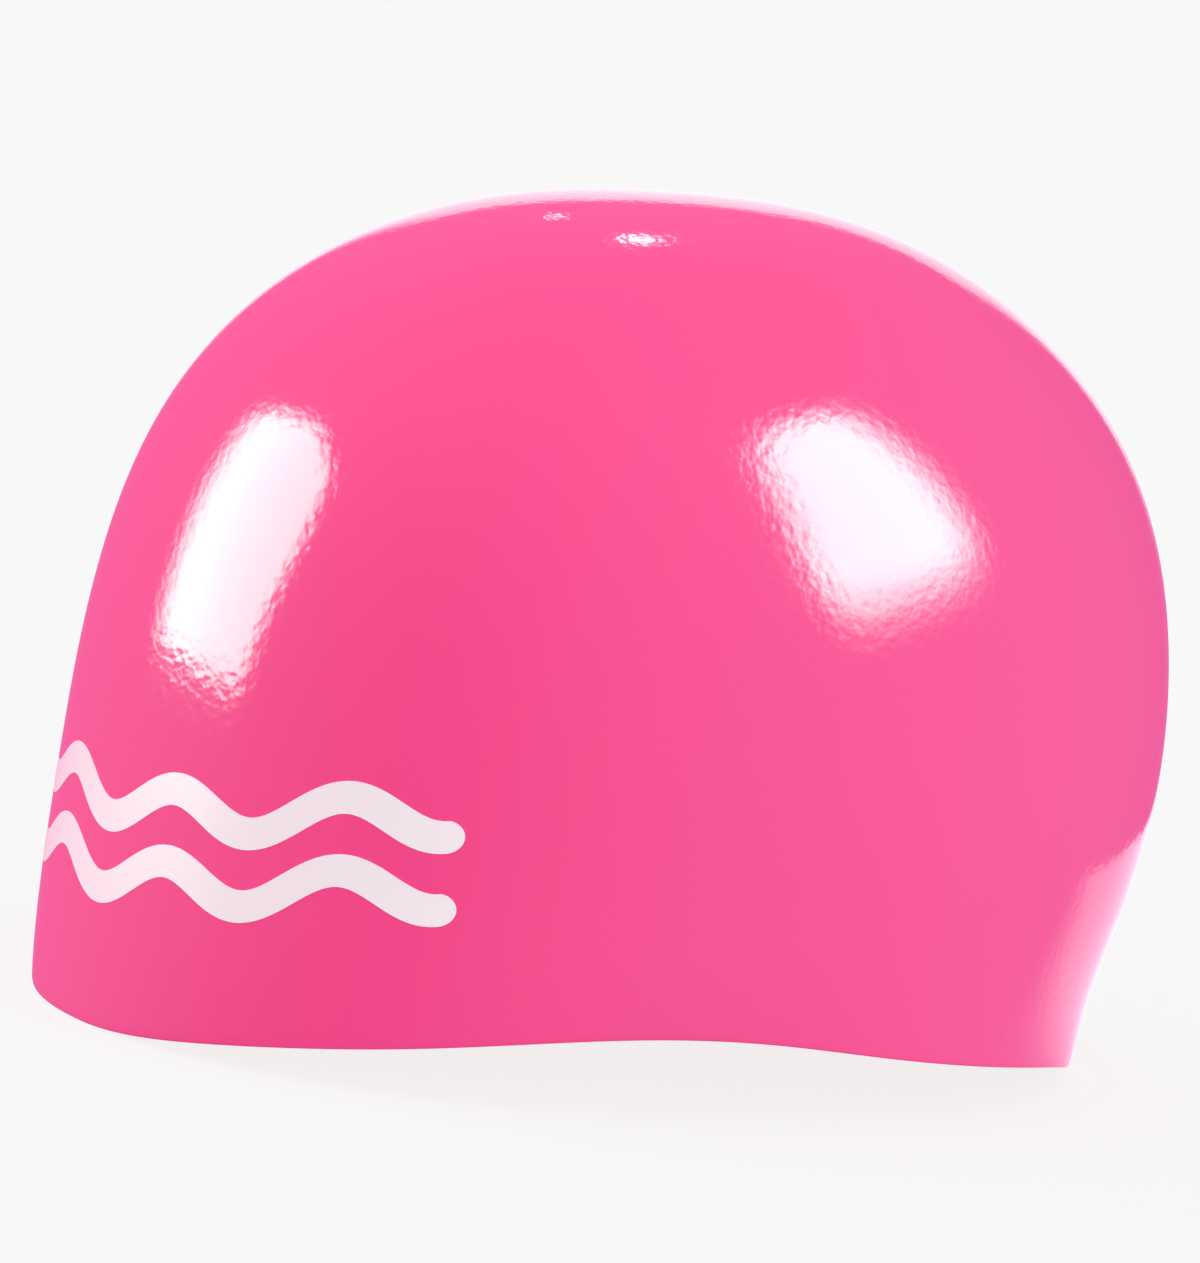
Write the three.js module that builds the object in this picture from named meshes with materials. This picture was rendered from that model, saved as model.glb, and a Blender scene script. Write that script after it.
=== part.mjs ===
// Moulded silicone swim cap: one seamless dome, open below, that keeps its form when it isn't worn.
// Millimetres. +Z is up and the forehead faces -Y. The cap rests on its rim at z = 0, at the
// forehead and at the nape, and the origin lies under the middle of its length and width.

import * as THREE from "three";

// Outside of the dome, measured from the head's centre, a point on the mid plane
const centreHeight = 57.6;
const crownRise = 93.7;
const foreheadReach = 95.8;
const backReach = 106;
const sideReach = 80.4;

// How much the plan is fuller than an ellipse at the temples, and leaner behind the ears
const templeFullness = 0.033;
const backTaper = 0.012;

// Rim: height of its arch over the ears, and half the angle of each flat that the cap rests on
const earArch = 14.1;
const restHalfAngle = 6;

// Silicone wall, and the thicker band inside the rim that grips the head
const wallThickness = 1;
const rimThickness = 1.7;
const rimBandHeight = 14;

// Facets round the head and from the crown down to the rim
const stepsAround = 64;
const stepsDown = 28;

// Profiles of the dome, a row for each angle in degrees down from the crown. A column gives the
// distance from the head's centre as a share of the plain ellipse through the crown and the
// reach on that side.
const profiles = [
  { down: 0, front: 1, side: 1, back: 1 },
  { down: 20, front: 1.01, side: 1.02, back: 1.035 },
  { down: 40, front: 1.03, side: 1.035, back: 1.06 },
  { down: 60, front: 1.02, side: 1.03, back: 1.05 },
  { down: 80, front: 0.995, side: 1.005, back: 1.01 },
  { down: 90, front: 1, side: 1, back: 1 },
  { down: 105, front: 1.055, side: 1.01, back: 1.005 },
  { down: 115, front: 1.135, side: 1.035, back: 1.04 },
  { down: 125, front: 1.245, side: 1.06, back: 1.14 },
];

// Height of the rim as a share of the ear arch, a row for each share of the way
// from the flat at the forehead round one side to the flat at the nape
const rimRows = [
  { along: 0, height: 0 },
  { along: 0.125, height: 0.25 },
  { along: 0.25, height: 0.605 },
  { along: 0.375, height: 0.915 },
  { along: 0.5, height: 0.985 },
  { along: 0.625, height: 0.805 },
  { along: 0.75, height: 0.58 },
  { along: 0.875, height: 0.3 },
  { along: 1, height: 0 },
];

const radians = THREE.MathUtils.degToRad;
const degrees = THREE.MathUtils.radToDeg;

// Natural cubic curve y(x) through points in order of x
function smoothCurve(points) {
  const last = points.length - 1;
  const bends = new Array(points.length).fill(0);
  const factors = new Array(points.length).fill(0);
  for (let i = 1; i < last; i++) {
    const before = points[i].x - points[i - 1].x;
    const after = points[i + 1].x - points[i].x;
    const slopeBefore = (points[i].y - points[i - 1].y) / before;
    const slopeAfter = (points[i + 1].y - points[i].y) / after;
    const share = before / (before + after);
    const pivot = share * factors[i - 1] + 2;
    factors[i] = (share - 1) / pivot;
    const turn = (6 * (slopeAfter - slopeBefore)) / (before + after);
    bends[i] = (turn - share * bends[i - 1]) / pivot;
  }
  for (let i = last - 1; i > 0; i--) {
    bends[i] += factors[i] * bends[i + 1];
  }
  return (x) => {
    let i = 1;
    while (i < last && x > points[i].x) i++;
    const gap = points[i].x - points[i - 1].x;
    const a = (points[i].x - x) / gap;
    const b = 1 - a;
    const bow = (a ** 3 - a) * bends[i - 1] + (b ** 3 - b) * bends[i];
    return a * points[i - 1].y + b * points[i].y + (bow * gap * gap) / 6;
  };
}

// Curve over the head, from the bottom row of one column over the crown to that of another
function curveOverHead(nearColumn, farColumn) {
  const near = profiles.map((row) => ({ x: row.down, y: row[nearColumn] }));
  const far = profiles.slice(1).map((row) => ({ x: -row.down, y: row[farColumn] }));
  return smoothCurve([...far.reverse(), ...near]);
}

const midlineShare = curveOverHead("front", "back");
const sideShare = curveOverHead("side", "side");

// Rim heights mirrored past both flats, so that the rim runs level into them
const rimPoints = rimRows.map((row) => ({ x: row.along, y: row.height }));
const rimShare = smoothCurve([
  ...rimPoints.slice(1).map(({ x, y }) => ({ x: -x, y })).reverse(),
  ...rimPoints,
  ...rimPoints.slice(0, -1).map(({ x, y }) => ({ x: 2 - x, y })).reverse(),
]);

function ellipseRadius(down, reach) {
  return 1 / Math.hypot(Math.sin(down) / reach, Math.cos(down) / crownRise);
}

// Distance from the head's centre to the outside, at an angle down from the crown
// and an angle round the head from the forehead
function outsideRadius(down, around) {
  const angle = degrees(down);
  const front = (midlineShare(angle) * ellipseRadius(down, foreheadReach)) ** -2;
  const back = (midlineShare(-angle) * ellipseRadius(down, backReach)) ** -2;
  const side = (sideShare(angle) * ellipseRadius(down, sideReach)) ** -2;
  const ahead = Math.cos(around);
  const lengthwise = (front + back) / 2;
  const lean = (front - back) / 2;
  const plan = side + (lengthwise - side) * ahead ** 2 + lean * ahead;
  const fullness = (templeFullness * (1 + ahead) - backTaper * (1 - ahead)) / 2;
  const diagonal = (1 - Math.cos(4 * around)) / 2;
  const awayFromCrown = Math.sin(Math.min(down, Math.PI / 2)) ** 2;
  return plan ** -0.5 * (1 + fullness * diagonal * awayFromCrown);
}

function rimHeight(around) {
  const turned = degrees(Math.acos(Math.cos(around)));
  const along = (turned - restHalfAngle) / (180 - 2 * restHalfAngle);
  return earArch * rimShare(THREE.MathUtils.clamp(along, 0, 1));
}

// Angle down from the crown at which the outside comes down to the rim, found by halving
function rimAngle(around) {
  const height = rimHeight(around);
  let above = radians(60);
  let below = radians(150);
  for (let i = 0; i < 30; i++) {
    const middle = (above + below) / 2;
    const reached = centreHeight + outsideRadius(middle, around) * Math.cos(middle);
    if (reached > height) above = middle;
    else below = middle;
  }
  return above;
}

// Point on the outside for a place on a flat disc of radius 1: its middle is the crown, its
// edge the rim, and its two coordinates point sideways and ahead
function outsidePoint(sideways, ahead) {
  const around = Math.atan2(sideways, ahead);
  const down = rimAngle(around) * Math.hypot(sideways, ahead);
  const radius = outsideRadius(down, around);
  const point = new THREE.Vector3();
  point.x = radius * Math.sin(down) * Math.sin(around);
  point.y = -radius * Math.sin(down) * Math.cos(around);
  point.z = centreHeight + radius * Math.cos(down);
  return point;
}

function outwardNormal(sideways, ahead) {
  const step = 1e-3;
  const alongSide = outsidePoint(sideways + step, ahead).sub(outsidePoint(sideways - step, ahead));
  const alongAhead = outsidePoint(sideways, ahead + step).sub(outsidePoint(sideways, ahead - step));
  return alongAhead.cross(alongSide).normalize();
}

// Point on the inside, across the wall from the outside. The wall thickens in the rim band, and
// its thickness turns level there, so that the rim is cut flat.
function insidePoint(sideways, ahead) {
  const point = outsidePoint(sideways, ahead);
  const aboveRim = point.z - rimHeight(Math.atan2(sideways, ahead));
  const inBand = 1 - THREE.MathUtils.smoothstep(aboveRim, 0, rimBandHeight);
  const inward = outwardNormal(sideways, ahead).negate();
  inward.z *= 1 - inBand;
  inward.normalize();
  const thickness = THREE.MathUtils.lerp(wallThickness, rimThickness, inBand);
  return point.addScaledVector(inward, thickness);
}

// The shell starts as a flat disc with two faces, turned round its axis, which is then wrapped
// over the head: its upper face becomes the outside, its lower face the inside
function shellGeometry() {
  const upper = [];
  const lower = [];
  for (let i = 0; i <= stepsDown; i++) {
    upper.push(new THREE.Vector2(i / stepsDown, 1));
    lower.push(new THREE.Vector2(i / stepsDown, 0));
  }
  const geometry = new THREE.LatheGeometry([...lower, ...upper.reverse()], stepsAround);
  const places = geometry.getAttribute("position");
  for (let i = 0; i < places.count; i++) {
    const sideways = places.getX(i);
    const ahead = places.getZ(i);
    const onOutside = places.getY(i) > 0.5;
    const point = onOutside ? outsidePoint(sideways, ahead) : insidePoint(sideways, ahead);
    places.setXYZ(i, point.x, point.y, point.z);
  }
  geometry.computeVertexNormals();
  geometry.computeBoundingBox();
  return geometry;
}

const silicone = new THREE.MeshStandardMaterial({ color: 0xfc5697, roughness: 0.2, metalness: 0 });
const capShell = new THREE.Mesh(shellGeometry(), silicone);
capShell.name = "cap_shell";
capShell.position.y = -capShell.geometry.boundingBox.getCenter(new THREE.Vector3()).y;

const swimCap = new THREE.Group();
swimCap.add(capShell);

export default swimCap;
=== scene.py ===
"""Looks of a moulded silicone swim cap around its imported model, laid out as a Blender add-on.

The dome replaces the plain CAD solid with a fine mesh of the same form, a printed pattern of
water waves lies on its forehead, and a pale studio with two softboxes shows it."""

import bisect
import functools
import math

import bmesh
import bpy
from bpy.props import FloatProperty, FloatVectorProperty, IntProperty, PointerProperty
from mathutils import Euler, Matrix, Vector


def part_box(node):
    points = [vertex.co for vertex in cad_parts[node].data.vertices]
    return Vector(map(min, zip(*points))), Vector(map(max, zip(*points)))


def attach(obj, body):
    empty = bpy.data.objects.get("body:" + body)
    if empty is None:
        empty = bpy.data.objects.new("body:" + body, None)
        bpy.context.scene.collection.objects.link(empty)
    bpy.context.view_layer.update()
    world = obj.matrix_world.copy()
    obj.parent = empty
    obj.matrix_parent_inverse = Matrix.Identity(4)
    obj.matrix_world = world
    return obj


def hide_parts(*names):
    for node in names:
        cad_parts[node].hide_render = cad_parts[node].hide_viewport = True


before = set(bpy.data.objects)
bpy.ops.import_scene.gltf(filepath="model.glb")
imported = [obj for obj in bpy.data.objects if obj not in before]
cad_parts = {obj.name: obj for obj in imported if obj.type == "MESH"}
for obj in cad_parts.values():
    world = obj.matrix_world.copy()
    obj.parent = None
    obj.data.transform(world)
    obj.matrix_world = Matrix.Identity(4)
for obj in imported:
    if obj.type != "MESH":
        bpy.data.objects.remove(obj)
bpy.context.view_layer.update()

bl_info = {
    "name": "Silicone Swim Cap",
    "version": (1, 0, 0),
    "blender": (4, 5, 0),
    "location": "View3D > Sidebar > Swim Cap",
    "description": "Builds a glossy moulded silicone swim cap with a printed wave pattern",
    "category": "Add Mesh",
}

SHELL_NODE = "cap_shell"

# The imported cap's box, which the dome's sizes are shares of
box_low, box_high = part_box(SHELL_NODE)
box_size = box_high - box_low
box_middle = (box_low + box_high) / 2

# Profiles of the dome, a row for each angle in degrees down from the crown. The other columns
# give the distance from the head's centre, in front, at the side and at the back, as a share of
# the plain ellipse through the crown and the reach on that side.
PROFILES = (
    # down, front, side, back
    (0, 1, 1, 1),
    (20, 1.01, 1.02, 1.035),
    (40, 1.03, 1.035, 1.06),
    (60, 1.02, 1.03, 1.05),
    (80, 0.995, 1.005, 1.01),
    (90, 1, 1, 1),
    (105, 1.055, 1.01, 1.005),
    (115, 1.135, 1.035, 1.04),
    (125, 1.245, 1.06, 1.14),
)
FRONT, SIDE, BACK = 1, 2, 3

# Height of the rim as a share of its arch over the ears, at even steps of the way from the flat
# at the forehead round one side to the flat at the nape
RIM_HEIGHTS = (0, 0.25, 0.605, 0.915, 0.985, 0.805, 0.58, 0.3, 0)

# Angles down from the crown between which any height on the dome is found, and how often the
# stretch between them is halved
ABOVE_ANY_HEIGHT = math.radians(30)
BELOW_ANY_HEIGHT = math.radians(150)
HALVINGS = 32

# How much closer the rows of faces lie at the rim than they would if spread evenly
ROW_CROWDING = 0.12

# Folds sharper than this are edges of the rim
SHARP_FOLD = math.radians(60)

# How far the dome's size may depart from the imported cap's
SIZE_TOLERANCE = 0.001

# Angle round the head of each step along the print, spacing of its cuts, and faces round each
# corner of its ends
PRINT_STEP = math.radians(0.5)
PRINT_CUT_SPACING = 0.0008
PRINT_END_STEPS = 8


class DomeSettings(bpy.types.PropertyGroup):
    centre_height: FloatProperty(
        name="Head Centre Height", description="Height of the head's centre above the surface",
        default=0.38 * box_size.z, unit="LENGTH")
    crown_rise: FloatProperty(
        name="Crown Rise", description="Height of the crown above the head's centre",
        default=0.618 * box_size.z, unit="LENGTH")
    forehead_reach: FloatProperty(
        name="Forehead Reach", description="From the head's centre to the forehead",
        default=0.4693 * box_size.y, unit="LENGTH")
    back_reach: FloatProperty(
        name="Back Reach", description="From the head's centre to the back of the head",
        default=0.5192 * box_size.y, unit="LENGTH")
    side_reach: FloatProperty(
        name="Side Reach", description="From the head's centre to each side",
        default=0.4998 * box_size.x, unit="LENGTH")
    temple_fullness: FloatProperty(
        name="Temple Fullness", description="How much the plan is fuller than an ellipse at the temples",
        default=0.033, unit="NONE")
    back_taper: FloatProperty(
        name="Back Taper", description="How much the plan is leaner than an ellipse behind the ears",
        default=0.012, unit="NONE")
    ear_arch: FloatProperty(
        name="Ear Arch", description="Height of the rim's arch over the ears",
        default=0.093 * box_size.z, unit="LENGTH")
    rest_half_angle: FloatProperty(
        name="Rest Half Angle", description="Half the angle of each flat that the cap rests on",
        default=math.radians(6), subtype="ANGLE")
    wall: FloatProperty(
        name="Wall", description="Thickness of the silicone", default=0.001, unit="LENGTH")
    rim_wall: FloatProperty(
        name="Rim Wall", description="Thickness of the band inside the rim",
        default=0.0017, unit="LENGTH")
    rim_band: FloatProperty(
        name="Rim Band", description="Height of the band inside the rim",
        default=0.014, unit="LENGTH")
    rim_rounding: FloatProperty(
        name="Rim Rounding", description="Width of the rounding on both edges of the rim",
        default=0.0005, unit="LENGTH")
    steps_around: IntProperty(
        name="Steps Around", description="Faces round the head", default=256, min=16)
    steps_down: IntProperty(
        name="Steps Down", description="Faces from the crown down to the rim", default=96, min=8)


class SiliconeSettings(bpy.types.PropertyGroup):
    colour: FloatVectorProperty(
        name="Colour", description="Colour of the pigment in the silicone",
        default=(0.98, 0.07, 0.272), min=0, max=1, subtype="COLOR")
    deep_colour: FloatVectorProperty(
        name="Deep Colour", description="Colour where the pigment is a little denser",
        default=(0.97, 0.066, 0.26), min=0, max=1, subtype="COLOR")
    ripple_height: FloatProperty(
        name="Ripple Height", description="Height of the fine ripples left by the mould",
        default=0.000045, unit="LENGTH")


class PrintSettings(bpy.types.PropertyGroup):
    colour: FloatVectorProperty(
        name="Colour", description="Colour of the ink",
        default=(0.98, 0.89, 0.92), min=0, max=1, subtype="COLOR")
    start_angle: FloatProperty(
        name="Start", description="Angle from the middle of the forehead to the near end of the waves",
        default=math.radians(-16), subtype="ANGLE")
    lowest: FloatProperty(
        name="Lowest", description="Height of the lowest wave's middle line above the rim",
        default=0.0275, unit="LENGTH")
    spacing: FloatProperty(
        name="Spacing", description="Height from one wave to the next", default=0.0125, unit="LENGTH")
    wave_length: FloatProperty(
        name="Wave Length", description="From one crest to the next", default=0.0345, unit="LENGTH")
    wave_rise: FloatProperty(
        name="Wave Rise", description="From the middle line up to a crest", default=0.0034, unit="LENGTH")
    stroke: FloatProperty(
        name="Stroke", description="Width of a printed line", default=0.0056, unit="LENGTH")
    thickness: FloatProperty(
        name="Thickness", description="How far the ink stands proud", default=0.0001, unit="LENGTH")
    crests: IntProperty(
        name="Crests", description="Crests along each wave", default=3, min=1)
    waves: IntProperty(
        name="Waves", description="Waves above each other", default=2, min=1)


class StudioSettings(bpy.types.PropertyGroup):
    camera_turn: FloatProperty(
        name="Camera Turn", description="Turn of the camera from the wearer's left towards the face",
        default=math.radians(26), subtype="ANGLE")
    camera_elevation: FloatProperty(
        name="Camera Elevation", description="Angle at which the camera looks down",
        default=math.radians(7.35), subtype="ANGLE")
    camera_roll: FloatProperty(
        name="Camera Roll", description="Lean of the picture", default=math.radians(7.2), subtype="ANGLE")
    camera_distance: FloatProperty(
        name="Camera Distance", description="From the camera to the cap", default=1.248, unit="LENGTH")
    picture_height: FloatProperty(
        name="Picture Height", description="Height that the picture shows at the cap's distance",
        default=0.2255, unit="LENGTH")
    floor_colour: FloatVectorProperty(
        name="Floor Colour", description="Colour of the floor",
        default=(0.1, 0.1, 0.1), min=0, max=1, subtype="COLOR")
    floor_glow: FloatProperty(
        name="Floor Glow", description="Light of the floor's own, as on a light table",
        default=0.84, unit="NONE")
    floor_size: FloatProperty(
        name="Floor Size", description="Length of each side of the floor", default=60, unit="LENGTH")
    backdrop: FloatProperty(
        name="Backdrop", description="Brightness of the wall behind the cap", default=0.94, unit="NONE")
    room_light: FloatProperty(
        name="Room Light", description="Brightness of the whole room", default=1.0, unit="NONE")


# Head form

def smooth_curve(points):
    """Natural cubic curve y(x) through points in order of x."""
    last = len(points) - 1
    bends = [0.0] * (last + 1)
    factors = [0.0] * (last + 1)
    for i in range(1, last):
        (x0, y0), (x1, y1), (x2, y2) = points[i - 1:i + 2]
        share = (x1 - x0) / (x2 - x0)
        pivot = share * factors[i - 1] + 2
        turn = 6 * ((y2 - y1) / (x2 - x1) - (y1 - y0) / (x1 - x0)) / (x2 - x0)
        factors[i] = (share - 1) / pivot
        bends[i] = (turn - share * bends[i - 1]) / pivot
    for i in range(last - 1, 0, -1):
        bends[i] += factors[i] * bends[i + 1]

    starts = [x for x, _ in points[1:-1]]

    def curve(x):
        i = bisect.bisect_left(starts, x) + 1
        (x0, y0), (x1, y1) = points[i - 1:i + 1]
        gap = x1 - x0
        a = (x1 - x) / gap
        b = 1 - a
        bow = (a ** 3 - a) * bends[i - 1] + (b ** 3 - b) * bends[i]
        return a * y0 + b * y1 + bow * gap * gap / 6

    return curve


def curve_over_head(near_column, far_column):
    """Curve from the bottom row of one column over the crown to that of another."""
    far = [(-row[0], row[far_column]) for row in reversed(PROFILES[1:])]
    near = [(row[0], row[near_column]) for row in PROFILES]
    return smooth_curve(far + near)


def rim_curve():
    """Rim heights mirrored past both flats, so that the rim runs level into them."""
    steps = len(RIM_HEIGHTS) - 1
    heights = list(RIM_HEIGHTS)
    mirrored = heights[:0:-1] + heights + heights[-2::-1]
    return smooth_curve([(i / steps - 1, height) for i, height in enumerate(mirrored)])


class HeadForm:
    """Outside of the dome, measured from the head's centre, a point on the mid plane."""

    def __init__(self, sizes):
        self.sizes = sizes
        self.midline = curve_over_head(FRONT, BACK)
        self.side = curve_over_head(SIDE, SIDE)
        self.rim = rim_curve()
        self.rim_angle = functools.cache(self.find_rim_angle)

    def ellipse_radius(self, down, reach):
        return 1 / math.hypot(math.sin(down) / reach, math.cos(down) / self.sizes.crown_rise)

    def radius(self, down, around):
        """Distance from the head's centre, at an angle down from the crown and one round the
        head from the forehead."""
        sizes = self.sizes
        angle = math.degrees(down)
        front = (self.midline(angle) * self.ellipse_radius(down, sizes.forehead_reach)) ** -2
        back = (self.midline(-angle) * self.ellipse_radius(down, sizes.back_reach)) ** -2
        side = (self.side(angle) * self.ellipse_radius(down, sizes.side_reach)) ** -2
        ahead = math.cos(around)
        lengthwise = (front + back) / 2
        lean = (front - back) / 2
        plan = side + (lengthwise - side) * ahead ** 2 + lean * ahead
        fullness = (sizes.temple_fullness * (1 + ahead) - sizes.back_taper * (1 - ahead)) / 2
        diagonal = (1 - math.cos(4 * around)) / 2
        away_from_crown = math.sin(min(down, math.pi / 2)) ** 2
        return plan ** -0.5 * (1 + fullness * diagonal * away_from_crown)

    def point(self, down, around):
        radius = self.radius(down, around)
        return Vector((
            radius * math.sin(down) * math.sin(around),
            -radius * math.sin(down) * math.cos(around),
            self.sizes.centre_height + radius * math.cos(down)))

    def normal(self, down, around):
        step = 1e-4
        downwards = self.point(down + step, around) - self.point(down - step, around)
        sideways = self.point(down, around + step) - self.point(down, around - step)
        return downwards.cross(sideways).normalized()

    def rim_height(self, around):
        turned = math.acos(max(-1.0, min(1.0, math.cos(around))))
        rest = self.sizes.rest_half_angle
        along = (turned - rest) / (math.pi - 2 * rest)
        return self.sizes.ear_arch * self.rim(max(0.0, min(1.0, along)))

    def angle_at_height(self, height, around):
        """Angle down from the crown at which the outside comes down to a height."""
        above, below = ABOVE_ANY_HEIGHT, BELOW_ANY_HEIGHT
        for _ in range(HALVINGS):
            middle = (above + below) / 2
            if self.point(middle, around).z > height:
                above = middle
            else:
                below = middle
        return above

    def find_rim_angle(self, around):
        return self.angle_at_height(self.rim_height(around), around)


def smoothstep(x):
    x = max(0.0, min(1.0, x))
    return x * x * (3 - 2 * x)


# Meshes and materials

# Values of the cloud noise that count as none and as all of the effect
CLOUD_RANGE = (0.2, 0.8)

# Roughness where the silicone and the ink are glossiest and where they are dullest
SILICONE_ROUGHNESS = (0.075, 0.1)
INK_ROUGHNESS = (0.25, 0.35)

SILICONE_IOR = 1.43
INK_IOR = 1.45

# Size of the ink's clouds, finer than the silicone's, and how much darker thin ink is
INK_CLOUD_SCALE = 60.0
THIN_INK = 0.97


def finish_piece(name, bm, material):
    """Makes a finished object of a bmesh, in place, riding on the cap."""
    mesh = bpy.data.meshes.new(name)
    bm.to_mesh(mesh)
    bm.free()
    mesh.materials.append(material)
    piece = bpy.data.objects.new(name, mesh)
    bpy.context.scene.collection.objects.link(piece)
    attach(piece, "root")
    return piece


def new_group(name, inputs, outputs):
    """An empty shader node group with its sockets and its two end nodes. Its inputs are numbers."""
    group = bpy.data.node_groups.new(name, "ShaderNodeTree")
    for socket_name, default in inputs:
        socket = group.interface.new_socket(
            socket_name, in_out="INPUT", socket_type="NodeSocketFloat")
        socket.default_value = default
    for socket_name, kind in outputs:
        group.interface.new_socket(socket_name, in_out="OUTPUT", socket_type=kind)
    return group, group.nodes.new("NodeGroupInput"), group.nodes.new("NodeGroupOutput")


def moulded_ripple_group():
    """Fine ripples of a polished mould, as a normal, and slow clouds, as a mask."""
    name = "moulded_ripple"
    if name in bpy.data.node_groups:
        return bpy.data.node_groups[name]
    group, given, result = new_group(
        name,
        [("Ripple Scale", 600.0), ("Ripple Height", 0.00002), ("Cloud Scale", 14.0)],
        [("Normal", "NodeSocketVector"), ("Clouds", "NodeSocketFloat")])
    nodes, links = group.nodes, group.links
    place = nodes.new("ShaderNodeTexCoord")

    ripple = nodes.new("ShaderNodeTexNoise")
    ripple.inputs["Detail"].default_value = 1.5
    ripple.inputs["Roughness"].default_value = 0.45
    links.new(place.outputs["Object"], ripple.inputs["Vector"])
    links.new(given.outputs["Ripple Scale"], ripple.inputs["Scale"])

    bump = nodes.new("ShaderNodeBump")
    bump.inputs["Strength"].default_value = 1.0
    links.new(ripple.outputs["Fac"], bump.inputs["Height"])
    links.new(given.outputs["Ripple Height"], bump.inputs["Distance"])
    links.new(bump.outputs["Normal"], result.inputs["Normal"])

    clouds = nodes.new("ShaderNodeTexNoise")
    clouds.inputs["Detail"].default_value = 2.0
    links.new(place.outputs["Object"], clouds.inputs["Vector"])
    links.new(given.outputs["Cloud Scale"], clouds.inputs["Scale"])
    links.new(clouds.outputs["Fac"], result.inputs["Clouds"])
    return group


def blend_node(nodes, links, mask, low, high):
    """A colour mix of two colours by a mask."""
    mix = nodes.new("ShaderNodeMix")
    mix.data_type = "RGBA"
    links.new(mask, mix.inputs["Factor"])
    mix.inputs["A"].default_value = (*low, 1)
    mix.inputs["B"].default_value = (*high, 1)
    return mix.outputs["Result"]


def range_node(nodes, links, clouds, low, high):
    """Spreads the cloud noise over a range."""
    spread = nodes.new("ShaderNodeMapRange")
    links.new(clouds, spread.inputs["Value"])
    spread.inputs["From Min"].default_value, spread.inputs["From Max"].default_value = CLOUD_RANGE
    spread.inputs["To Min"].default_value = low
    spread.inputs["To Max"].default_value = high
    return spread.outputs["Result"]


def silicone_material(settings):
    """Glossy moulded silicone: dense pigment under a clear, slightly rippled skin."""
    material = bpy.data.materials.new("pink_silicone")
    material.use_nodes = True
    nodes, links = material.node_tree.nodes, material.node_tree.links
    shader = nodes["Principled BSDF"]
    ripple = nodes.new("ShaderNodeGroup")
    ripple.node_tree = moulded_ripple_group()
    ripple.inputs["Ripple Height"].default_value = settings.ripple_height
    mask = range_node(nodes, links, ripple.outputs["Clouds"], 0.0, 1.0)
    colour = blend_node(nodes, links, mask, settings.colour, settings.deep_colour)
    links.new(colour, shader.inputs["Base Color"])
    roughness = range_node(nodes, links, ripple.outputs["Clouds"], *SILICONE_ROUGHNESS)
    links.new(roughness, shader.inputs["Roughness"])
    links.new(ripple.outputs["Normal"], shader.inputs["Normal"])
    shader.inputs["IOR"].default_value = SILICONE_IOR
    return material


def ink_material(settings):
    """Satin white ink, a little tinted by the silicone under it."""
    material = bpy.data.materials.new("white_ink")
    material.use_nodes = True
    nodes, links = material.node_tree.nodes, material.node_tree.links
    shader = nodes["Principled BSDF"]
    ripple = nodes.new("ShaderNodeGroup")
    ripple.node_tree = moulded_ripple_group()
    ripple.inputs["Cloud Scale"].default_value = INK_CLOUD_SCALE
    mask = range_node(nodes, links, ripple.outputs["Clouds"], 0.0, 1.0)
    thin_ink = [channel * THIN_INK for channel in settings.colour]
    links.new(blend_node(nodes, links, mask, settings.colour, thin_ink), shader.inputs["Base Color"])
    roughness = range_node(nodes, links, ripple.outputs["Clouds"], *INK_ROUGHNESS)
    links.new(roughness, shader.inputs["Roughness"])
    links.new(ripple.outputs["Normal"], shader.inputs["Normal"])
    shader.inputs["IOR"].default_value = INK_IOR
    return material


def centre_on_frame(bm):
    """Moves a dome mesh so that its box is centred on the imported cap's, and tests its size."""
    low = [min(v.co[axis] for v in bm.verts) for axis in range(3)]
    high = [max(v.co[axis] for v in bm.verts) for axis in range(3)]
    shift = Vector((0, box_middle.y - (low[1] + high[1]) / 2, 0))
    bmesh.ops.translate(bm, verts=bm.verts, vec=shift)
    for axis in range(3):
        if abs(high[axis] - low[axis] - box_size[axis]) > SIZE_TOLERANCE:
            raise RuntimeError("the dome's size departs from the packed cap's")
    return shift


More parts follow.
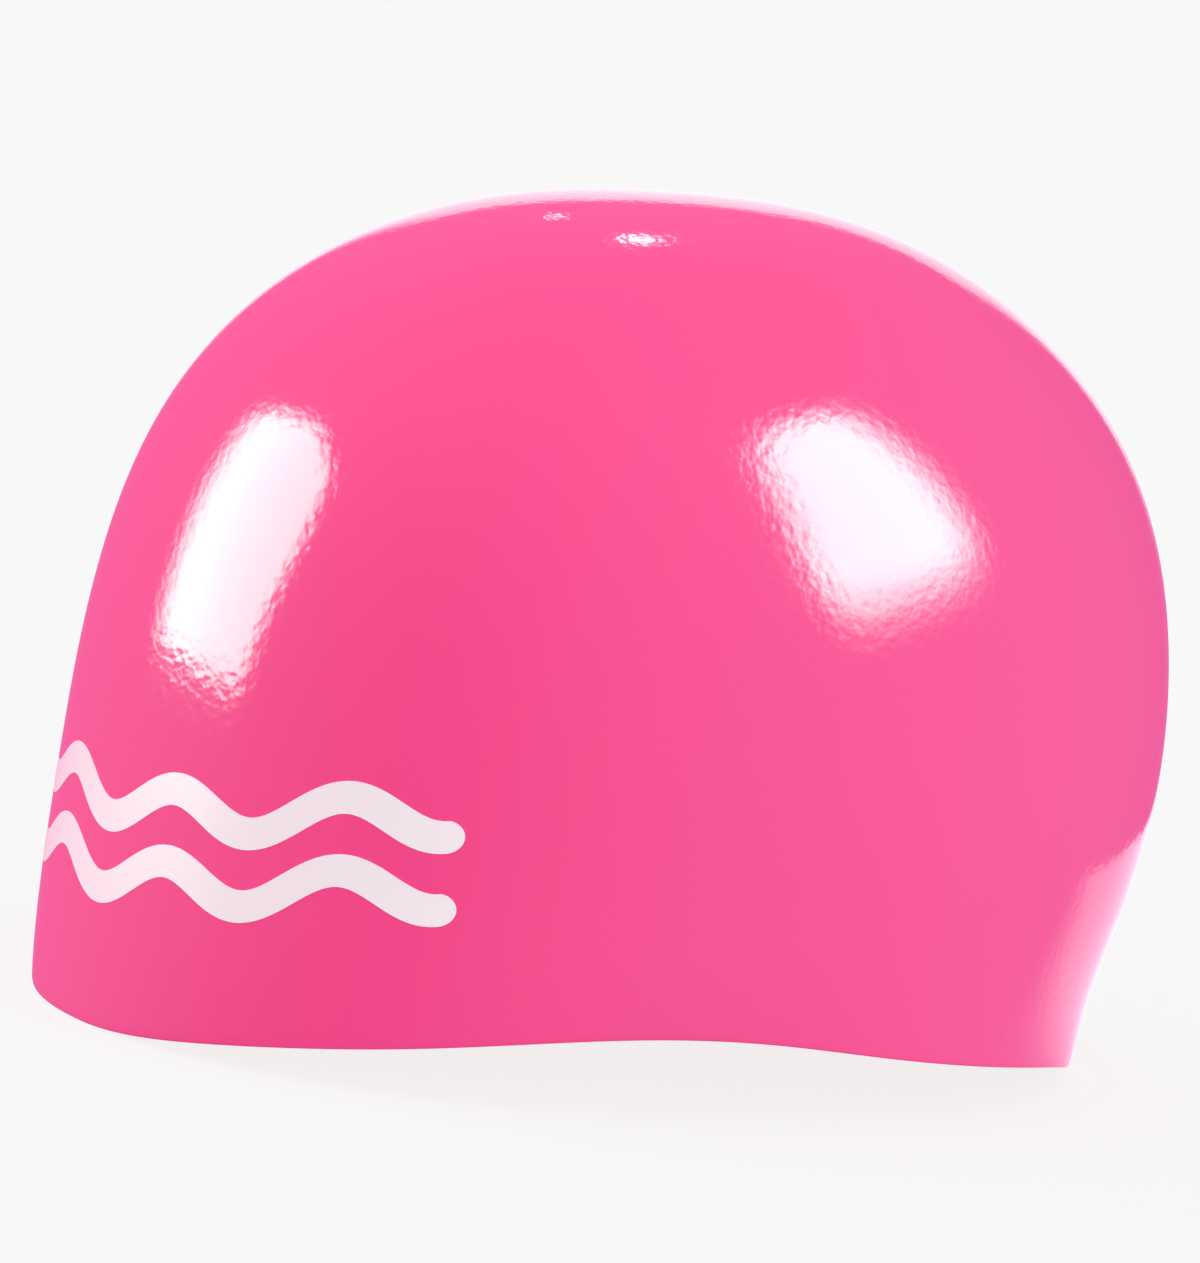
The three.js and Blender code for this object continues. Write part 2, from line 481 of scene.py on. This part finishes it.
class SWIMCAP_OT_dome(bpy.types.Operator):
    """Build the seamless silicone dome with its hollow inside and rounded rim"""
    bl_idname = "swimcap.dome"
    bl_label = "Silicone Dome"

    def execute(self, context):
        sizes = context.scene.swimcap_dome
        form = HeadForm(sizes)
        bm = bmesh.new()

        # A flat disc of radius 1, with rows that get closer towards its edge
        centre = bm.verts.new((0, 0, 0))
        edge = bm.verts.new((1, 0, 0))
        spoke = bm.edges.new((centre, edge))
        bmesh.ops.subdivide_edges(bm, edges=[spoke], cuts=sizes.steps_down - 1)
        for vert in bm.verts:
            vert.co.x += ROW_CROWDING * math.sin(math.pi * vert.co.x) / math.pi
        bmesh.ops.spin(
            bm, geom=bm.verts[:] + bm.edges[:], axis=(0, 0, 1), cent=(0, 0, 0),
            angle=2 * math.pi, steps=sizes.steps_around, use_merge=True)
        bmesh.ops.remove_doubles(bm, verts=bm.verts, dist=1e-6)

        # The disc wrapped over the head: its middle is the crown and its edge the rim
        for vert in bm.verts:
            around = round(math.atan2(vert.co.x, -vert.co.y), 6)
            down = form.rim_angle(around) * vert.co.length
            vert.co = form.point(down, around)
        bmesh.ops.recalc_face_normals(bm, faces=bm.faces)
        bm.normal_update()
        if max(bm.verts, key=lambda v: v.co.z).normal.z < 0:
            bmesh.ops.reverse_faces(bm, faces=bm.faces)
            bm.normal_update()

        # The wall, extruded inwards. It thickens to the band at the rim, where it turns level.
        rim_edges = [e for e in bm.edges if e.is_boundary]
        inward = {}
        for vert in bm.verts:
            above_rim = vert.co.z - form.rim_height(math.atan2(vert.co.x, -vert.co.y))
            in_band = 1 - smoothstep(above_rim / sizes.rim_band)
            direction = -vert.normal
            direction.z *= 1 - in_band
            thickness = sizes.wall + (sizes.rim_wall - sizes.wall) * in_band
            inward[vert.co.to_tuple(7)] = direction.normalized() * thickness
        wall = bmesh.ops.extrude_face_region(bm, geom=bm.faces[:], use_keep_orig=True)
        inside = [item for item in wall["geom"] if isinstance(item, bmesh.types.BMVert)]
        for vert in inside:
            vert.co += inward[vert.co.to_tuple(7)]
        bmesh.ops.recalc_face_normals(bm, faces=bm.faces)

        # Both edges of the rim, rounded
        outer = set(rim_edges)
        inner = {e for e in wall["geom"] if isinstance(e, bmesh.types.BMEdge)
                 and e.calc_face_angle(0) > SHARP_FOLD}
        bmesh.ops.bevel(
            bm, geom=list(outer | inner), offset=sizes.rim_rounding, offset_type="OFFSET",
            segments=3, profile=0.5, affect="EDGES", material=-1, clamp_overlap=True)
        for face in bm.faces:
            face.smooth = True
        context.scene["dome_shift"] = list(centre_on_frame(bm))

        material = silicone_material(context.scene.swimcap_silicone)
        dome = finish_piece("silicone_dome", bm, material)
        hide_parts(SHELL_NODE)
        return {"FINISHED"}


class SWIMCAP_OT_wave_print(bpy.types.Operator):
    """Print rows of water waves on the wearer's left of the forehead"""
    bl_idname = "swimcap.wave_print"
    bl_label = "Wave Print"

    def execute(self, context):
        settings = context.scene.swimcap_print
        form = HeadForm(context.scene.swimcap_dome)
        shift = Vector(context.scene["dome_shift"])
        length = (settings.crests + 0.2) * settings.wave_length
        middle_height = settings.lowest + settings.spacing * (settings.waves - 1) / 2

        # Angle round the head for each distance along the print, stepped off at its middle
        angles, distances = [settings.start_angle], [0.0]
        place = form.point(form.angle_at_height(middle_height, angles[0]), angles[0])
        while distances[-1] < length * 1.1:
            angle = angles[-1] + PRINT_STEP
            further = form.point(form.angle_at_height(middle_height, angle), angle)
            distances.append(distances[-1] + (further - place).length)
            angles.append(angle)
            place = further

        def angle_at(distance):
            i = max(1, min(bisect.bisect(distances, distance), len(distances) - 1))
            share = (distance - distances[i - 1]) / (distances[i] - distances[i - 1])
            return angles[i - 1] + share * PRINT_STEP

        bm = bmesh.new()
        for wave in range(settings.waves):
            self.flat_wave(bm, settings, length, settings.lowest + wave * settings.spacing)
        for vert in bm.verts:
            along, height, lift = vert.co
            around = angle_at(along)
            down = form.angle_at_height(form.rim_height(around) + height, around)
            vert.co = form.point(down, around) + lift * form.normal(down, around) + shift
        bmesh.ops.recalc_face_normals(bm, faces=bm.faces)

        material = ink_material(settings)
        finish_piece("wave_print", bm, material)
        return {"FINISHED"}

    @staticmethod
    def flat_wave(bm, settings, length, height):
        """One wave laid flat: X along it, Y its height and Z out of the cap."""
        line = bmesh.new()
        bmesh.ops.create_grid(line, x_segments=1, y_segments=1, size=0.5)
        bmesh.ops.scale(line, verts=line.verts, vec=(length, settings.stroke, 1))
        bmesh.ops.bevel(
            line, geom=line.verts[:], offset=0.499 * settings.stroke, offset_type="OFFSET",
            segments=PRINT_END_STEPS, profile=0.5, affect="VERTICES", material=-1)
        cuts = round(length / PRINT_CUT_SPACING)
        for i in range(1, cuts):
            along = length * (i / cuts - 0.5)
            bmesh.ops.bisect_plane(
                line, geom=line.verts[:] + line.edges[:] + line.faces[:], dist=1e-6,
                plane_co=(along, 0, 0), plane_no=(1, 0, 0))
        for share in (-0.25, 0, 0.25):
            bmesh.ops.bisect_plane(
                line, geom=line.verts[:] + line.edges[:] + line.faces[:], dist=1e-6,
                plane_co=(0, share * settings.stroke, 0), plane_no=(0, 1, 0))

        # Lean of the stroke's cuts, so that it keeps its width where the wave is steep
        for vert in line.verts:
            phase = 2 * math.pi * (vert.co.x / settings.wave_length)
            rise = settings.wave_rise * math.cos(phase)
            slope = -settings.wave_rise * 2 * math.pi / settings.wave_length * math.sin(phase)
            across = vert.co.y / math.hypot(1, slope)
            vert.co.x += length / 2 - across * slope
            vert.co.y = height + rise + across
        top = bmesh.ops.extrude_face_region(line, geom=line.faces[:], use_keep_orig=True)
        raised = [v for v in top["geom"] if isinstance(v, bmesh.types.BMVert)]
        bmesh.ops.translate(line, verts=raised, vec=(0, 0, settings.thickness))
        lowered = [v for v in line.verts if v not in set(raised)]
        bmesh.ops.translate(line, verts=lowered, vec=(0, 0, -settings.thickness))
        mesh = bpy.data.meshes.new("flat_wave")
        line.to_mesh(mesh)
        line.free()
        bm.from_mesh(mesh)
        bpy.data.meshes.remove(mesh)


# Studio

# Power that gives a square metre of a light panel a brightness of 1, and where the panels face
WATTS_PER_BRIGHTNESS = 4
LIGHT_AIM = Vector((0, 0, 0.08))

# Turn of a panel on the floor that shines upwards, with its width along X and its height to -Y
FLOOR_FACING = Euler((math.pi, 0, 0))

# The room as it lights matt surfaces: its plain colour and its glows, each as azimuth,
# elevation, narrowness and colour. A glow of negative colour is a darker part of the room.
ROOM_COLOUR = (0.75, 0.71, 0.71)
ROOM_GLOWS = (
    (77, 3, 1, (0.45, 0.43, 0.43)),
    (-37, 45, 7, (1.1, 1, 1)),
    (22, -30, 7, (-1.2, -1.25, -1.3)),
    (-50, -25, 3, (0.55, 0.35, 0.5)),
    (100, -30, 4, (0.15, 0.15, 0.22)),
    (125, 10, 2.5, (-0.05, 0.25, 0.25)),
)

# The room as the cap mirrors it where no lamp shows: in the cap's own pink, so that its outline
# doesn't darken, with glows
MIRRORED_COLOUR = (0.95, 0.2, 0.5)
MIRRORED_GLOWS = (
    (134, 7, 1.6, (0.3, 1, 1)),
    (-21, 6, 2.7, (0.9, 0.8, 1.2)),
    (0, 90, 2, (0.5, 0.6, 0.7)),
)

# Edges of the light panels, each as an angle in degrees from the panel's width, a distance from
# its middle and the softness of the edge
FRONT_SOFTBOX_EDGES = (
    (16, 0.59, 0.15), (-16, 0.57, 0.15), (72, 0.54, 0.14), (108, 0.51, 0.14),
    (180, 0.69, 0.4), (270, 0.47, 0.05))
SIDE_SOFTBOX_EDGES = (
    (25, 0.56, 0.35), (7, 0.61, 0.45), (-63, 0.75, 0.45), (-82, 0.71, 0.45),
    (202, 0.66, 0.25), (169, 0.49, 0.22), (129, 0.6, 0.2), (90, 0.62, 0.18))
BACKDROP_EDGES = ((0, 0.6, 0.2), (90, 0.49, 0.05), (180, 0.6, 0.2), (270, 0.44, 0.3))
WINDOW_EDGES = ((0, 0.05, 0.03), (90, 0.08, 0.05), (180, 0.05, 0.03), (270, 0.08, 0.05))
LAMP_EDGES = ((0, 0.015, 0.01), (90, 0.05, 0.03), (180, 0.015, 0.01), (270, 0.05, 0.03))
FLOOR_GLOW_EDGES = (
    (-9, 0.162, 0.035), (-65, 0.119, 0.02), (-83, 0.117, 0.02), (180, 0.22, 0.15), (90, 0.13, 0.1))

SOFTBOX_COLOUR = (1, 1, 0.86)
BACKDROP_COLOUR = (0.4, 0.9, 0.75)
FLOOR_GLOW_COLOUR = (0.7, 1, 1)
FLOOR_GLOW_PLACE = Vector((-0.11, 0.17, 0.0005))

# Where the camera looks, the width of its sensor in millimetres and how far it sees
CAMERA_AIM = Vector((-0.0005, -0.0064, 0.0721))
SENSOR_WIDTH = 36
CAMERA_REACH = 100

# How far the floor lies below the cap's rim
FLOOR_GAP = 0.0001


def direction_to(azimuth, elevation):
    """Unit vector: azimuth 0 is the forehead's side and 90 degrees the wearer's left."""
    level = math.cos(elevation)
    return Vector((
        level * math.sin(azimuth), -level * math.cos(azimuth), math.sin(elevation)))


def soft_cut_group():
    """Brightness on one side of a line across a light panel, fading out towards the line."""
    name = "soft_cut"
    if name in bpy.data.node_groups:
        return bpy.data.node_groups[name]
    group, given, result = new_group(
        name,
        [("Width", 1.0), ("Height", 1.0), ("Angle", 0.0), ("Distance", 0.5), ("Softness", 0.1)],
        [("Brightness", "NodeSocketFloat")])
    nodes, links = group.nodes, group.links
    place = nodes.new("ShaderNodeNewGeometry")
    split = nodes.new("ShaderNodeSeparateXYZ")
    links.new(place.outputs["Parametric"], split.inputs["Vector"])
    shares = []
    for side, length, wave in (("X", "Width", "COSINE"), ("Y", "Height", "SINE")):
        off_middle = math_node(nodes, links, "SUBTRACT", split.outputs[side], 0.5)
        distance = math_node(nodes, links, "MULTIPLY", off_middle, given.outputs[length])
        facing = math_node(nodes, links, wave, given.outputs["Angle"])
        shares.append(math_node(nodes, links, "MULTIPLY", distance, facing))
    outward = math_node(nodes, links, "ADD", *shares)
    to_line = math_node(nodes, links, "SUBTRACT", given.outputs["Distance"], outward)
    fade = nodes.new("ShaderNodeMapRange")
    fade.interpolation_type = "SMOOTHSTEP"
    links.new(to_line, fade.inputs["Value"])
    links.new(given.outputs["Softness"], fade.inputs["From Max"])
    links.new(fade.outputs["Result"], result.inputs["Brightness"])
    return group


def math_node(nodes, links, operation, *values):
    """A math node fed with sockets or numbers."""
    node = nodes.new("ShaderNodeMath")
    node.operation = operation
    for i, value in enumerate(values):
        if isinstance(value, (int, float)):
            node.inputs[i].default_value = value
        else:
            links.new(value, node.inputs[i])
    return node.outputs["Value"]


def panel_light(name, place, turn, size, brightness, edges, colour=(1, 1, 1)):
    """A light panel that shows only as a reflection, with straight soft edges."""
    data = bpy.data.lights.new(name, "AREA")
    data.shape = "RECTANGLE"
    data.size, data.size_y = size
    data.energy = brightness * WATTS_PER_BRIGHTNESS * size[0] * size[1]
    data.color = colour
    data.use_nodes = True
    nodes, links = data.node_tree.nodes, data.node_tree.links
    lit = 1.0
    for angle, distance, softness in edges:
        cut = nodes.new("ShaderNodeGroup")
        cut.node_tree = soft_cut_group()
        cut.inputs["Width"].default_value = size[0]
        cut.inputs["Height"].default_value = size[1]
        cut.inputs["Angle"].default_value = math.radians(angle)
        cut.inputs["Distance"].default_value = distance
        cut.inputs["Softness"].default_value = softness
        lit = math_node(nodes, links, "MULTIPLY", cut.outputs["Brightness"], lit)
    links.new(lit, nodes["Emission"].inputs["Strength"])
    light = bpy.data.objects.new(name, data)
    light.matrix_world = Matrix.Translation(place) @ turn.to_matrix().to_4x4()
    bpy.context.scene.collection.objects.link(light)
    light.visible_camera = False
    light.visible_diffuse = False
    light.visible_transmission = False


def panel_round_cap(name, azimuth, elevation, distance, size, brightness, edges, **looks):
    """A light panel that faces the cap from a direction."""
    outward = direction_to(math.radians(azimuth), math.radians(elevation))
    turn = outward.to_track_quat("Z", "Y")
    panel_light(name, LIGHT_AIM + outward * distance, turn, size, brightness, edges, **looks)


def add_glows(nodes, links, ray, plain, glows):
    """A plain colour with soft glows round directions, and nowhere darker than black."""
    total = nodes.new("ShaderNodeCombineXYZ").outputs["Vector"]
    for socket, channel in zip(total.node.inputs, plain):
        socket.default_value = channel
    for azimuth, elevation, narrowness, colour in glows:
        facing = nodes.new("ShaderNodeVectorMath")
        facing.operation = "DOT_PRODUCT"
        links.new(ray, facing.inputs[0])
        facing.inputs[1].default_value = direction_to(math.radians(azimuth), math.radians(elevation))
        ahead = math_node(nodes, links, "MAXIMUM", facing.outputs["Value"], 0.0)
        lobe = math_node(nodes, links, "POWER", ahead, narrowness)
        added = nodes.new("ShaderNodeVectorMath")
        added.operation = "MULTIPLY_ADD"
        links.new(lobe, added.inputs[0])
        added.inputs[1].default_value = colour
        links.new(total, added.inputs[2])
        total = added.outputs["Vector"]
    limited = nodes.new("ShaderNodeVectorMath")
    limited.operation = "MAXIMUM"
    links.new(total, limited.inputs[0])
    limited.inputs[1].default_value = (0, 0, 0)
    return limited.outputs["Vector"]


def white_room(settings):
    """The room as the camera sees it, as it lights matt surfaces and as the cap reflects it."""
    world = bpy.data.worlds.new("white_room")
    world.use_nodes = True
    nodes, links = world.node_tree.nodes, world.node_tree.links
    ray = nodes.new("ShaderNodeTexCoord").outputs["Generated"]
    path = nodes.new("ShaderNodeLightPath").outputs
    lighting = add_glows(nodes, links, ray, ROOM_COLOUR, ROOM_GLOWS)
    reflections = add_glows(nodes, links, ray, MIRRORED_COLOUR, MIRRORED_GLOWS)
    seen = nodes.new("ShaderNodeMix")
    seen.data_type = "RGBA"
    links.new(path["Is Glossy Ray"], seen.inputs["Factor"])
    links.new(lighting, seen.inputs["A"])
    links.new(reflections, seen.inputs["B"])
    colour = nodes.new("ShaderNodeMix")
    colour.data_type = "RGBA"
    links.new(path["Is Camera Ray"], colour.inputs["Factor"])
    links.new(seen.outputs["Result"], colour.inputs["A"])
    colour.inputs["B"].default_value = (settings.backdrop,) * 3 + (1,)
    background = nodes["Background"]
    links.new(colour.outputs["Result"], background.inputs["Color"])
    background.inputs["Strength"].default_value = settings.room_light
    bpy.context.scene.world = world


def floor_material(settings):
    """Matt floor with a pale light of its own."""
    material = bpy.data.materials.new("pale_floor")
    material.use_nodes = True
    nodes, links = material.node_tree.nodes, material.node_tree.links
    shader = nodes["Principled BSDF"]
    shader.inputs["Base Color"].default_value = (*settings.floor_colour, 1)
    shader.inputs["Emission Color"].default_value = (1, 1, 1, 1)
    shader.inputs["Emission Strength"].default_value = settings.floor_glow
    shader.inputs["Roughness"].default_value = 0.9
    shader.inputs["Specular IOR Level"].default_value = 0.0
    return material


class SWIMCAP_OT_studio(bpy.types.Operator):
    """Set up the pale floor, the soft studio lights and the camera"""
    bl_idname = "swimcap.studio"
    bl_label = "Studio"

    def execute(self, context):
        settings = context.scene.swimcap_studio
        self.lay_floor(settings)
        white_room(settings)
        self.hang_lights()
        self.place_camera(context.scene, settings)
        context.scene.view_settings.view_transform = "Standard"
        return {"FINISHED"}

    def lay_floor(self, settings):
        bm = bmesh.new()
        bmesh.ops.create_grid(bm, x_segments=4, y_segments=4, size=settings.floor_size / 2)
        bmesh.ops.translate(bm, verts=bm.verts, vec=(0, 0, -FLOOR_GAP))
        mesh = bpy.data.meshes.new("floor")
        bm.to_mesh(mesh)
        bm.free()
        mesh.materials.append(floor_material(settings))
        floor = bpy.data.objects.new("floor", mesh)
        bpy.context.scene.collection.objects.link(floor)
        floor.visible_glossy = False
        floor.visible_diffuse = False

    def hang_lights(self):
        """Hangs each panel at its azimuth, elevation and distance, of its size and brightness."""
        panel_round_cap(
            "front_softbox", -23, 17.5, 1.4, (1.4, 1.2), 15.5, FRONT_SOFTBOX_EDGES,
            colour=SOFTBOX_COLOUR)
        panel_round_cap(
            "side_softbox", 130, 35, 1.4, (1.5, 1.5), 19.5, SIDE_SOFTBOX_EDGES,
            colour=SOFTBOX_COLOUR)
        panel_round_cap(
            "backdrop", -118, 7.5, 2, (1.2, 1), 1, BACKDROP_EDGES, colour=BACKDROP_COLOUR)
        panel_round_cap("window", -116.8, 51.2, 1.5, (0.1, 0.16), 11, WINDOW_EDGES)
        panel_round_cap("lamp", -108, 35, 1.5, (0.03, 0.1), 6, LAMP_EDGES)
        panel_light(
            "floor_glow", FLOOR_GLOW_PLACE, FLOOR_FACING, (0.44, 0.26), 0.88, FLOOR_GLOW_EDGES,
            colour=FLOOR_GLOW_COLOUR)

    def place_camera(self, scene, settings):
        turn, elevation = settings.camera_turn, settings.camera_elevation
        back = Vector((
            math.cos(turn) * math.cos(elevation),
            -math.sin(turn) * math.cos(elevation),
            math.sin(elevation)))
        level = Vector((math.sin(turn), math.cos(turn), 0))
        up = back.cross(level)
        lean = settings.camera_roll
        across = level * math.cos(lean) + up * math.sin(lean)
        upward = up * math.cos(lean) - level * math.sin(lean)
        data = bpy.data.cameras.new("camera")
        data.type = "PERSP"
        data.sensor_width = SENSOR_WIDTH
        data.lens = data.sensor_width * settings.camera_distance / settings.picture_height
        data.clip_end = CAMERA_REACH
        camera = bpy.data.objects.new("camera", data)
        turned = Matrix((across, upward, back)).transposed()
        place = Matrix.Translation(CAMERA_AIM + back * settings.camera_distance)
        camera.matrix_world = place @ turned.to_4x4()
        scene.collection.objects.link(camera)
        scene.camera = camera


class SWIMCAP_PT_panel(bpy.types.Panel):
    """Sizes and colours of the swim cap, and a button for each piece"""
    bl_idname = "SWIMCAP_PT_panel"
    bl_label = "Swim Cap"
    bl_space_type = "VIEW_3D"
    bl_region_type = "UI"
    bl_category = "Swim Cap"

    def draw(self, context):
        layout = self.layout
        parts = (
            (SWIMCAP_OT_dome, "swimcap_dome"),
            (None, "swimcap_silicone"),
            (SWIMCAP_OT_wave_print, "swimcap_print"),
            (SWIMCAP_OT_studio, "swimcap_studio"))
        for operator, name in parts:
            settings = getattr(context.scene, name)
            column = layout.column(align=True)
            for key in settings.__annotations__:
                column.prop(settings, key)
            if operator:
                layout.operator(operator.bl_idname)


SETTINGS = {
    "swimcap_dome": DomeSettings,
    "swimcap_silicone": SiliconeSettings,
    "swimcap_print": PrintSettings,
    "swimcap_studio": StudioSettings,
}
OPERATORS = (SWIMCAP_OT_dome, SWIMCAP_OT_wave_print, SWIMCAP_OT_studio)


def register():
    for cls in (*SETTINGS.values(), *OPERATORS, SWIMCAP_PT_panel):
        bpy.utils.register_class(cls)
    for name, cls in SETTINGS.items():
        setattr(bpy.types.Scene, name, PointerProperty(type=cls))


def unregister():
    for name in SETTINGS:
        delattr(bpy.types.Scene, name)
    for cls in (SWIMCAP_PT_panel, *reversed(OPERATORS), *reversed(SETTINGS.values())):
        bpy.utils.unregister_class(cls)


def main():
    register()
    bpy.ops.swimcap.dome()
    bpy.ops.swimcap.wave_print()
    bpy.ops.swimcap.studio()


if __name__ == "__main__":
    main()
